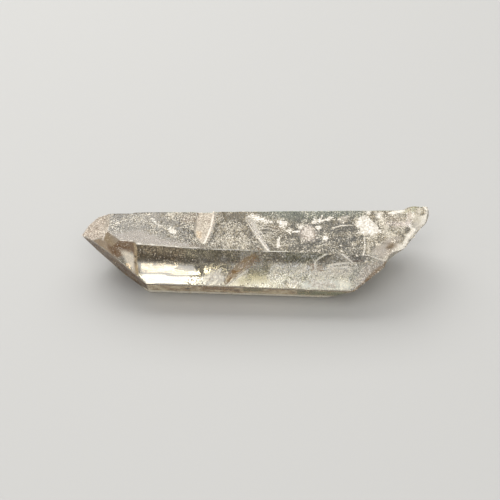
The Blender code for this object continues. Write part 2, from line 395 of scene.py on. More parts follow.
# Named places on the skin, drawn from above and then from the front.
SCAR = area_above(
    (-9.9, 4.4), (-6.9, 4.4), (-7.0, 1.4), (-7.5, -0.8), (-8.1, -4.1), (-8.7, -4.4), (-9.6, -3.0),
    (-10.3, -0.9), edge=0.15,
)
DENSE_SUGAR = area_above(
    (-6.9, -0.2), (-4.1, 0.9), (-1.3, 0.2), (-0.3, -2.7), (-0.7, -4.8), (-6.6, -5.2), edge=0.9,
)
BACK_SUGAR = area_above((-15.6, 4.1), (-12.8, 4.4), (-12.9, 2.8), (-15.1, 2.2), edge=0.6)
SMOOTH_TOP = area_above((-6.9, 4.4), (-0.5, 4.6), (-1.5, 1.2), (-5.0, 1.4), (-7.2, -3.0), edge=0.6)
# Lilac band: the overhead light's sheen on the top face, partly reflected, partly painted by coat and grains.
LILAC_SHEEN_BAND = area_above(
    (-26.5, -1.5), (-23.8, -1.9), (-20.6, -0.9), (-15.7, -3.4), (-8.4, -5.0), (-8.2, -6.2), (-16.0, -6.0),
    (-24.0, -4.8), edge=0.9,
)
GREEN_EDGE = area_above(
    (1.5, 6.5), (22.0, 6.5), (21.5, 3.6), (15.0, 3.2), (10.0, 1.9), (7.5, 2.4), (5.0, 3.0), (2.0, 3.0),
    edge=1.2,
)
RIGHT_END = area_above(
    (21.5, 5.8), (32.0, 7.0), (34.5, 4.0), (29.5, -3.0), (25.0, -7.0), (20.8, -7.0), (22.5, -1.0), edge=1.2,
)
# The glare: the front strip light shines out here, and a white coat paints a highlight over it.
GLARE = area_front(
    (-20.8, 9.3), (-10.5, 9.4), (-9.4, 8.0), (-11.2, 7.4), (-12.2, 6.0), (-19.4, 6.0), edge=0.4,
)
# The olive glow: light let through with a green tint, painted in as a pale olive coat.
OLIVE_GLOW = area_front((-2.3, 7.3), (2.0, 9.9), (4.5, 9.8), (4.0, 6.4), (-1.9, 6.2), edge=1.3)
PALE_RIGHT = area_front((4.0, 9.6), (19.5, 9.9), (24.5, 10.0), (19.0, 5.2), (3.5, 5.6), edge=0.9)
# The dark band: painted shade, for the shadowed floor seen through the upper front face.
PAINTED_SHADE_BAND = area_front((-22.0, 13.0), (18.0, 12.6), (13.0, 10.2), (-1.5, 9.9), (-21.0, 9.7))
CORNER_STAIN = area_front(
    (-26.4, 12.6), (-21.4, 13.0), (-21.3, 10.6), (-22.6, 10.4), (-23.6, 9.8), (-24.6, 9.4), (-26.4, 10.6),
    edge=0.4,
)

# The imprint of a rod, the sides of the V-shaped ledge, the pale rims of the break, flow lines, and
# the line under the brown crack.
PALE_LINES = (
    line_above(0.26, (-0.8, 2.2), (1.3, -1.8), (3.4, -5.7)),
    line_above(0.16, (0.1, 3.0), (1.3, 0.6), (2.9, -2.6)),
    line_front(0.28, (11.8, 9.6), (12.3, 10.5), (13.5, 11.3), (15.2, 12.1)),
    line_front(0.30, (16.4, 12.0), (17.8, 11.2), (19.1, 10.2)),
    line_front(0.30, (14.5, 9.7), (16.3, 10.0), (18.4, 10.2)),
    line_front(0.25, (14.2, 9.2), (16.4, 9.4), (18.2, 9.6)),
    line_above(0.7, (28.7, -3.3), (29.3, -1.5), (30.0, -0.3), (30.8, 0.8)),
    line_above(0.6, (33.0, 3.4), (33.7, 5.0), (33.2, 6.2)),
    line_above(0.30, (15.6, 0.6), (17.1, 1.3), (19.2, 1.5)),
    line_above(0.22, (21.3, -1.6), (21.3, -4.5), (20.9, -6.6)),
    line_above(0.5, (26.4, 5.0), (27.6, 5.6), (29.3, 5.9)),
    line_front(0.20, (-4.4, 5.9), (-3.1, 6.8), (-1.6, 7.8), (-0.4, 8.6)),
)

# Films, stains and milky patches, in the order in which they lie over each other. Each has its
# shade, its milk, how broken it is, and its places.
COATS = (
    # The veils of the right end, the corner by the point in brown and pale, and the painted glare highlight.
    coat("#ddd3be", 0.62, 1.9, RIGHT_END),
    coat("#7b5937", 0.62, 0.25, CORNER_STAIN),
    coat(
        "#e8dcc8", 0.90, 0.2,
        area_front((-24.0, 10.9), (-22.8, 10.8), (-21.4, 10.1), (-21.3, 7.6), (-22.9, 9.0), edge=0.4),
    ),
    coat("#faf6ee", 0.62, 0.1, GLARE),
    coat(
        "#f6f0e4", 0.62, 0.6,
        area_front((-9.6, 6.2), (-8.9, 7.0), (-7.0, 8.4), (-5.4, 8.6), (-4.6, 7.0), (-5.0, 6.1)),
    ),
    # The darker fields of the top face, and the clearer right part of the dark band, which is painted shade.
    coat(
        "#75705a", 0.05, 0.8,
        area_above((9.0, 3.0), (20.0, 3.0), (21.0, -1.0), (20.5, -6.8), (10.0, -6.4), (7.0, -2.0), edge=1.5),
    ),
    coat(
        "#8b7f68", 0.28, 0.4,
        area_above((-27.5, 4.8), (-16.0, 4.8), (-16.0, 0.5), (-22.0, -0.3), (-27.0, -1.2), edge=1.2),
    ),
    coat(
        "#968e78", 0.10, 0.2,
        area_front((-12.0, 13.0), (18.0, 12.8), (13.0, 10.2), (-1.5, 9.9), (-12.0, 9.8), edge=0.9),
    ),
    # The ground of the round flake, the stain beside the scar, and the folds of the flower veils.
    coat(
        "#c9bdb1", 0.30, 0.3,
        area_above((8.6, -0.5), (9.4, 1.2), (11.5, 1.5), (12.7, -0.6), (12.3, -3.3), (9.9, -3.3)),
    ),
    coat(
        "#7d6038", 0.28, 0.3,
        area_above((-13.1, 2.8), (-10.3, 3.5), (-10.0, 1.3), (-11.7, 0.7), (-13.0, 1.5), edge=0.6),
    ),
    coat("#6a5236", 0.30, 0.3, line_above(0.3, (-12.7, 2.3), (-11.8, 3.3), (-10.3, 3.8))),
    coat("#8a6f4c", 0.30, 0.8, area_above((4.1, 0.7), (6.4, 0.5), (6.2, -0.6), (4.3, -0.4))),
    coat(
        "#e6dccd", 0.60, 0.3,
        line_above(0.25, (1.5, -0.2), (3.4, 0.2), (5.1, -0.6)),
        line_above(0.25, (1.7, -1.0), (3.4, -0.9), (4.9, -1.7)),
        line_above(0.2, (1.9, 0.6), (3.6, 1.0), (5.0, 0.3)),
        line_above(0.2, (2.2, -1.9), (3.3, -1.8), (4.4, -2.5)),
    ),
    # White and pinkish patches, brown flow lines and a greenish tip at the right of the top face.
    coat(
        "#e9dfd0", 0.50, 0.7,
        area_above((16.6, 3.1), (17.6, 4.2), (18.9, 4.0), (18.3, 2.6), (16.9, 2.3), edge=0.3),
    ),
    coat(
        "#f1ebdf", 0.85, 0.6,
        area_above((22.0, 4.7), (21.9, 5.6), (23.0, 5.8), (22.9, 4.8), edge=0.3),
        area_above((23.7, 5.0), (24.8, 5.0), (24.9, 3.4), (23.8, 3.6), edge=0.4),
        area_above((26.4, 5.1), (27.6, 5.8), (29.5, 6.1), (28.5, 5.2), (27.1, 4.6), edge=0.3),
    ),
    coat(
        "#e2d2c8", 0.50, 0.5,
        area_above((25.5, 2.8), (27.9, 2.8), (30.4, 2.9), (29.9, 1.6), (27.5, 1.5), (25.6, 1.8)),
    ),
    coat(
        "#7d6444", 0.30, 0.3,
        line_above(0.22, (25.3, 3.8), (27.4, 3.6), (29.5, 4.0)),
        line_above(0.22, (25.5, 3.0), (28.0, 3.2), (29.9, 3.0)),
    ),
    coat("#b3ae74", 0.35, 0.3, area_above((29.3, 5.6), (30.5, 6.8), (31.9, 6.5), (30.9, 4.8))),
    # The pale faces beside the break, and the warmer patch on them.
    coat(
        "#d2c4b4", 0.42, 0.5,
        area_above(
            (25.2, -2.3), (27.7, -1.1), (28.3, -2.2), (25.9, -5.4), (24.0, -6.5), (22.6, -5.0), edge=0.8,
        ),
        area_front((21.3, 9.8), (24.0, 10.9), (25.6, 10.5), (22.7, 8.2), (20.9, 6.6), (19.7, 7.4), edge=0.6),
    ),
    coat("#b49c7c", 0.30, 0.7, area_above((25.4, -3.9), (26.7, -2.4), (27.1, -3.2), (25.9, -4.8))),
    # The inside of the V-shaped ledge, the fields beside it, the white patch below it, and dark ticks.
    coat(
        "#f3ebdf", 0.60, 1.2,
        area_front((11.6, 8.2), (12.0, 9.6), (14.5, 9.5), (18.4, 9.9), (19.0, 8.6), (15.0, 8.0)),
    ),
    coat(
        "#8b8a63", 0.10, 0.3,
        area_front((6.5, 11.8), (14.8, 12.2), (13.7, 11.0), (11.6, 10.1), (6.6, 10.2)),
    ),
    coat("#4f4630", 0.40, 0.5, area_front((17.6, 12.2), (20.7, 12.2), (20.7, 10.6), (18.9, 10.7), edge=0.3)),
    coat(
        "#f0f1e4", 0.66, 0.3,
        area_front((9.4, 6.7), (12.2, 7.5), (16.8, 7.4), (19.0, 6.8), (18.7, 5.6), (9.8, 5.6)),
    ),
    coat(
        "#5f3f20", 0.45, 0.0,
        line_front(0.22, (18.7, 10.5), (20.7, 10.6)),
        line_front(0.18, (-8.2, 5.9), (-7.3, 7.1), (-6.5, 8.0)),
    ),
    # The brown crack, and the brown lower edge of the break.
    coat(
        "#8a6418", 0.60, 0.45,
        area_front(
            (-4.4, 6.1), (-4.3, 7.5), (-2.6, 9.5), (-0.8, 10.9), (1.2, 11.6), (1.7, 10.8), (0.1, 9.5),
            (-1.5, 8.4), (-3.0, 7.3), edge=0.35,
        ),
    ),
    coat("#94703f", 0.50, 0.5, line_front(0.7, (19.0, 5.1), (20.9, 6.7), (23.2, 8.7), (25.6, 10.5))),
    # The stained band below the front, its dark upper line and pale rim, and two dark spots.
    coat("#a26c2e", 0.50, 0.5, area_front((-9.0, 5.6), (-3.0, 5.6), (-3.0, 3.4), (-9.0, 3.4))),
    coat("#85793a", 0.45, 0.5, area_front((-1.2, 5.5), (2.6, 5.2), (2.4, 3.4), (-1.2, 3.2))),
    coat("#a3ab78", 0.25, 0.3, area_front((9.0, 5.0), (18.8, 4.4), (18.6, 2.2), (9.2, 1.8))),
    coat(
        "#4b3420", 0.75, 0.3,
        line_front(0.6, (-4.0, 4.1), (-2.1, 3.9)),
        line_front(0.4, (9.0, 4.3), (12.0, 4.2)),
    ),
    coat("#5d4426", 0.70, 0.6, line_front(0.45, (-20.0, 5.75), (19.0, 5.2))),
    coat("#fff8e6", 1.00, 0.1, line_front(2.0, (-19.5, 0.7), (2.0, 0.7), (17.1, 0.8))),
    coat("#2e1f12", 0.90, 0.0, *spots((-11.5, 3.9, 1.0), view=View.FRONT)),
    coat("#33251a", 0.90, 0.0, *spots((-13.3, 0.9, 0.75))),
    # The scar's ochre spot, painted highlights on the bright sides of scar and point, the rib and its spots.
    coat("#c7a468", 0.80, 0.6, area_above((-10.1, -0.8), (-9.1, -1.0), (-9.0, -2.8), (-9.8, -2.6), edge=0.3)),
    coat("#f8f0e4", 1.00, 0.3, line_above(0.3, (-7.0, 3.9), (-7.3, 0.9), (-7.8, -1.8), (-8.4, -4.1))),
    coat(
        "#f3e9dc", 0.90, 0.5,
        line_above(0.4, (-27.2, -2.2), (-27.6, -3.4), (-26.9, -4.1), (-26.1, -5.2), (-25.5, -5.9)),
    ),
    coat("#c3ab85", 0.60, 0.4, line_front(0.55, (-21.3, 12.6), (-21.0, 11.4), (-21.0, 9.7), (-20.8, 7.6))),
    coat(
        "#4a3620", 0.70, 0.0,
        *spots((-21.2, 10.2, 0.3), (-21.2, 9.2, 0.3), (-21.2, 12.5, 0.3), view=View.FRONT),
    ),
    # The pale lines, over all the rest.
    coat("#f8f2e6", 0.90, 0.45, *PALE_LINES),
)


def plug(tree: bpy.types.NodeTree, node: bpy.types.Node, links: dict) -> None:
    """Link or set a node's inputs.

    Args:
        tree: the node tree.
        node: the node that takes them.
        links: input name or number to the output socket or plain value that it takes.
    """
    for key, value in links.items():
        if isinstance(value, bpy.types.NodeSocket):
            tree.links.new(value, node.inputs[key])
        else:
            node.inputs[key].default_value = value


def add_node(tree: bpy.types.NodeTree, kind: str, links: dict | None = None, **settings) -> bpy.types.Node:
    """Add a shader node with its settings and links.

    Args:
        tree: the node tree.
        kind: the node's type name without the ShaderNode prefix.
        links: input name or number to the output socket or plain value that it takes.
        settings: the node's own properties.

    Returns:
        The new node.
    """
    made = tree.nodes.new("ShaderNode" + kind)
    for key, value in settings.items():
        setattr(made, key, value)
    plug(tree, made, links or {})
    return made


def fresh_material(name: str) -> tuple[bpy.types.Material, bpy.types.NodeTree, bpy.types.Node]:
    """Start a material.

    Args:
        name: the material's name.

    Returns:
        The new material, its node tree and its Principled shader.
    """
    material = bpy.data.materials.new(name)
    material.use_nodes = True
    tree = material.node_tree
    return material, tree, tree.nodes["Principled BSDF"]


@dataclass(frozen=True)
class ClearQuartz:
    """Quartz as it grew: glossy prism faces, sugary patches, frosted rhomb faces, a chlorite tint.

    To the eye it is a clear, faintly grey-green glass, and its inner reflections break up
    wherever the skin is etched. Tiny etched spots scatter the light and show as white specks.
    """

    absorption: str = "#c2bc9c"
    absorption_per_m: float = 40.0
    gloss: float = 0.02
    frosted: float = 0.55
    sugar_mm: float = 0.30
    grit_mm: float = 0.22
    grit_share: float = 0.35
    grit_shades: tuple[float, float] = (0.74, 1.12)
    relief_mm: float = 0.035
    speck: str = "#ece2ce"
    speck_reach: float = 0.16
    speck_rise: tuple[float, float] = (0.66, 0.72)
    speck_milk: float = 0.75

    def material(self) -> bpy.types.Material:
        """Make the see-through body; the mesh marks where it is frosted, sugary, milky and tinted.

        Returns:
            The material.
        """
        material, tree, shader = fresh_material("clear_quartz_as_grown")
        here = add_node(tree, "TexCoord").outputs["Object"]
        frost, sugar, milk = (
            add_node(tree, "Attribute", attribute_name=name).outputs["Fac"]
            for name in ("frost", "sugar", "milk")
        )
        tint = add_node(tree, "Attribute", attribute_name="tint").outputs["Color"]
        cells = add_node(tree, "TexVoronoi", {"Vector": here, "Scale": per_metre(self.sugar_mm)})
        noisy = add_node(tree, "TexNoise", {"Vector": here, "Scale": per_metre(self.grit_mm), "Detail": 2.0})
        grit = noisy.outputs["Fac"]
        rough = add_node(tree, "MapRange", {"Value": frost, "To Min": self.gloss, "To Max": self.frosted})
        dim, bright = self.grit_shades
        links = {"Value": grit, "From Min": 0.3, "From Max": 0.7, "To Min": dim, "To Max": bright}
        mottle = add_node(tree, "MapRange", links)
        links = {0: 1.0, 6: tint, 7: mottle.outputs["Result"]}
        broken_tint = add_node(tree, "Mix", links, data_type="RGBA", blend_type="MULTIPLY").outputs[2]
        lifted = add_node(tree, "Math", {0: sugar, 1: self.speck_reach, 2: grit}, operation="MULTIPLY_ADD")
        low, high = self.speck_rise
        links = {"Value": lifted.outputs[0], "From Min": low, "From Max": high, "To Max": self.speck_milk}
        specks = add_node(tree, "MapRange", links).outputs["Result"]
        links = {0: specks, 6: broken_tint, 7: linear(self.speck)}
        colour = add_node(tree, "Mix", links, data_type="RGBA").outputs[2]
        scattered = add_node(tree, "Math", {0: milk, 1: specks}, operation="MAXIMUM")
        clear = add_node(tree, "Math", {0: 1.0, 1: scattered.outputs[0]}, operation="SUBTRACT")
        links = {0: self.grit_share, 2: cells.outputs["Distance"], 3: grit}
        height = add_node(tree, "Mix", links, data_type="FLOAT")
        links = {"Height": height.outputs[0], "Strength": sugar, "Distance": self.relief_mm * MM}
        bump = add_node(tree, "Bump", links)
        links = {
            "Roughness": rough.outputs["Result"],
            "Base Color": colour,
            "Normal": bump.outputs["Normal"],
            "Transmission Weight": clear.outputs[0],
            "IOR": QUARTZ_IOR,
        }
        plug(tree, shader, links)
        links = {"Color": linear(self.absorption), "Density": self.absorption_per_m}
        depth = add_node(tree, "VolumeAbsorption", links)
        plug(tree, tree.nodes["Material Output"], {"Volume": depth.outputs["Volume"]})
        return material


@dataclass(frozen=True)
class MineralGrain:
    """Tiny opaque grains that grew on the skin or are cemented to it.

    Each grain has one tone, from dark to light, so that the crust has a painted sparkle instead of greying
    out.
    """

    name: str
    dark: str
    middle: str
    light: str
    roughness: float = 0.38
    mottle_mm: float = 1.2
    mottle_shades: tuple[float, float] = (0.8, 1.05)

    def material(self) -> bpy.types.Material:
        """Make the grains' colours run from dark over middle to light by each grain's own tone.

        Returns:
            The material.
        """
        material, tree, shader = fresh_material(self.name)
        here = add_node(tree, "TexCoord").outputs["Object"]
        tone = add_node(tree, "Attribute", attribute_name="tone").outputs["Fac"]
        ramp = add_node(tree, "ValToRGB", {"Fac": tone})
        stops = ramp.color_ramp.elements
        stops[0].color = linear(self.dark)
        stops[1].color = linear(self.light)
        stops.new(0.5).color = linear(self.middle)
        links = {"Vector": here, "Scale": per_metre(self.mottle_mm), "Detail": 3.0}
        cloud = add_node(tree, "TexNoise", links).outputs["Fac"]
        dim, bright = self.mottle_shades
        links = {"Value": cloud, "From Min": 0.35, "From Max": 0.65, "To Min": dim, "To Max": bright}
        patch = add_node(tree, "MapRange", links)
        links = {0: 1.0, 6: ramp.outputs["Color"], 7: patch.outputs["Result"]}
        colour = add_node(tree, "Mix", links, data_type="RGBA", blend_type="MULTIPLY").outputs[2]
        plug(tree, shader, {"Base Color": colour, "Roughness": self.roughness, "IOR": QUARTZ_IOR})
        return material


@dataclass(frozen=True)
class QuartzVeil:
    """A thin milky sheet of healed or chipped quartz, full of tiny cracks.

    To the eye it is bright white and crumpled, with a warmer rim where iron has crept in.
    """

    name: str
    body: str
    # The colour of the crumples' low parts: painted shade.
    shade: str
    rim: str
    rim_mm: float = 0.2
    crumple_mm: float = 0.35
    crumple_depth_mm: float = 0.05
    roughness: float = 0.42

    def material(self) -> bpy.types.Material:
        """Make milky quartz whose rim colour follows the mark that holds the distance to the edge.

        Returns:
            The material.
        """
        material, tree, shader = fresh_material(self.name)
        here = add_node(tree, "TexCoord").outputs["Object"]
        inset = add_node(tree, "Attribute", attribute_name="inset_mm").outputs["Fac"]
        links = {"Vector": here, "Scale": per_metre(self.crumple_mm), "Detail": 4.0}
        wrinkle = add_node(tree, "TexNoise", links).outputs["Fac"]
        # The shade colour goes where the crumples, which also make the bump, are low: painted shade in the
        # creases.
        patch = add_node(tree, "MapRange", {"Value": wrinkle, "From Min": 0.42, "From Max": 0.62})
        links = {0: patch.outputs["Result"], 6: linear(self.shade), 7: linear(self.body)}
        face = add_node(tree, "Mix", links, data_type="RGBA").outputs[2]
        inner = add_node(tree, "MapRange", {"Value": inset, "From Min": 0.0, "From Max": self.rim_mm})
        links = {0: inner.outputs["Result"], 6: linear(self.rim), 7: face}
        colour = add_node(tree, "Mix", links, data_type="RGBA").outputs[2]
        links = {"Height": wrinkle, "Strength": 0.6, "Distance": self.crumple_depth_mm * MM}
        bump = add_node(tree, "Bump", links).outputs["Normal"]
        plug(tree, shader, {"Base Color": colour, "Normal": bump})
        plug(tree, shader, {"Roughness": self.roughness, "IOR": QUARTZ_IOR})
        return material


def select_only(piece: bpy.types.Object) -> None:
    """Make one piece the only selected and the active object.

    Args:
        piece: the piece.
    """
    bpy.ops.object.select_all(action="DESELECT")
    piece.select_set(True)
    bpy.context.view_layer.objects.active = piece


def link_object(name: str, data: bpy.types.ID) -> bpy.types.Object:
    """Put a new object in the scene.

    Args:
        name: the object's name.
        data: its mesh, light or camera.

    Returns:
        The new object.
    """
    made = bpy.data.objects.new(name, data)
    bpy.context.scene.collection.objects.link(made)
    return made


def apply_modifier(piece: bpy.types.Object, kind: str, **settings) -> None:
    """Add a modifier and apply it.

    Args:
        piece: the piece that it works on.
        kind: the modifier's type.
        settings: the modifier's own properties.
    """
    select_only(piece)
    step = piece.modifiers.new(kind.lower(), kind)
    for key, value in settings.items():
        setattr(step, key, value)
    bpy.ops.object.modifier_apply(modifier=step.name)


def read_vectors(items: bpy.types.bpy_prop_collection, name: str) -> np.ndarray:
    """Read one vector of 3 numbers from each item.

    Args:
        items: the items, such as a mesh's points.
        name: what is read, such as their places.

    Returns:
        One row of 3 numbers for each item.
    """
    values = np.empty(len(items) * 3)
    items.foreach_get(name, values)
    return values.reshape(-1, 3)


def mark(mesh: bpy.types.Mesh, name: str, values: np.ndarray) -> None:
    """Store one number or one linear colour for each point of a mesh.

    Args:
        mesh: the mesh.
        name: the mark's name.
        values: the numbers or colours.
    """
    if values.ndim == 1:
        layer = mesh.attributes.new(name, "FLOAT", "POINT")
        layer.data.foreach_set("value", values.astype(np.float32))
        return
    layer = mesh.attributes.new(name, "FLOAT_COLOR", "POINT")
    layer.data.foreach_set("color", values.astype(np.float32).ravel())


def fresh_grid(name: str, columns: int, rows: int) -> bpy.types.Object:
    """Start a piece as a flat grid from -1 to 1 each way.

    Args:
        name: the piece's name.
        columns: how many cells it has along x.
        rows: how many cells it has along y.

    Returns:
        The new piece.
    """
    bpy.ops.object.select_all(action="DESELECT")
    bpy.ops.mesh.primitive_grid_add(x_subdivisions=columns, y_subdivisions=rows, size=2.0)
    piece = bpy.context.object
    piece.name = name
    return piece


def grid_shares(grid: bpy.types.Object) -> np.ndarray:
    """How far along the two sides of a fresh grid each of its points lies, from 0 to 1."""
    return (read_vectors(grid.data.vertices, "co")[:, :2] + 1.0) / 2.0


def keep_faces(piece: bpy.types.Object, kept: np.ndarray) -> None:
    """Delete the faces that have a corner outside.

    Args:
        piece: the piece.
        kept: for each of its points, whether it is kept.
    """
    for face in piece.data.polygons:
        face.select = not all(kept[i] for i in face.vertices)
    select_only(piece)
    bpy.context.tool_settings.mesh_select_mode = (False, False, True)
    bpy.ops.object.mode_set(mode="EDIT")
    bpy.ops.mesh.delete(type="FACE")
    bpy.ops.object.mode_set(mode="OBJECT")


def settle(piece: bpy.types.Object, material: bpy.types.Material) -> None:
    """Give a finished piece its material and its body.

    Args:
        piece: the piece.
        material: what it is made of.
    """
    piece.data.materials.clear()
    piece.data.materials.append(material)
    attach(piece, BODY)
    piece.data.calc_loop_triangles()
    log.info("%s: %d triangles", piece.name, len(piece.data.loop_triangles))


@dataclass
class Skin:
    """The finished skin of the crystal, in mm in the axis frame, for what sits on it."""

    points: np.ndarray
    quads: list[tuple[int, ...]]
    centres: np.ndarray
    normals: np.ndarray
    areas: np.ndarray
    tree: BVHTree

    @classmethod
    def of(cls, body: bpy.types.Object) -> "Skin":
        """Read the skin of the body.

        Args:
            body: the finished crystal.

        Returns:
            Its skin.
        """
        mesh = body.data
        points = to_axis(read_vectors(mesh.vertices, "co"))
        quads = [tuple(face.vertices) for face in mesh.polygons]
        centres = to_axis(read_vectors(mesh.polygons, "center"))
        normals = read_vectors(mesh.polygons, "normal")
        areas = np.empty(len(mesh.polygons))
        mesh.polygons.foreach_get("area", areas)
        tree = BVHTree.FromPolygons(points.tolist(), quads)
        return cls(points, quads, centres, normals, areas / MM**2, tree)

    def pick(
        self, count: int, density: np.ndarray, rng: np.random.Generator
    ) -> tuple[np.ndarray, np.ndarray]:
        """Points spread over the skin by density.

        Args:
            count: how many points.
            density: one number for each face of the skin.
            rng: the random numbers to draw from.

        Returns:
            The points in mm and the outward direction at each.
        """
        chance = self.areas * density
        chosen = rng.choice(len(chance), size=count, p=chance / chance.sum())
        corners = self.points[np.array([self.quads[i][:3] for i in chosen])]
        shares = rng.dirichlet((1.0, 1.0, 1.0), size=count)
        return np.einsum("nc,ncx->nx", shares, corners), self.normals[chosen]

    def drape(self, flat: np.ndarray, view: View) -> tuple[np.ndarray, np.ndarray]:
        """Drop flat points onto the skin from one side.

        Args:
            flat: n points of 2 numbers, in mm.
            view: the side that they are dropped from.

        Returns:
            The points on the skin in mm and the outward direction at each.
        """
        columns, side = view.value
        side = Vector(side)
        starts = np.zeros((len(flat), 3))
        starts[:, list(columns)] = flat
        landed, outward = [], []
        for start in starts:
            hit, normal, _, _ = self.tree.ray_cast(Vector(start) + side * RAY_MM, -side)
            if hit is None:
                hit, normal, _, _ = self.tree.find_nearest(Vector(start))
            landed.append(hit)
            outward.append(normal)
        return np.array(landed), np.array(outward)


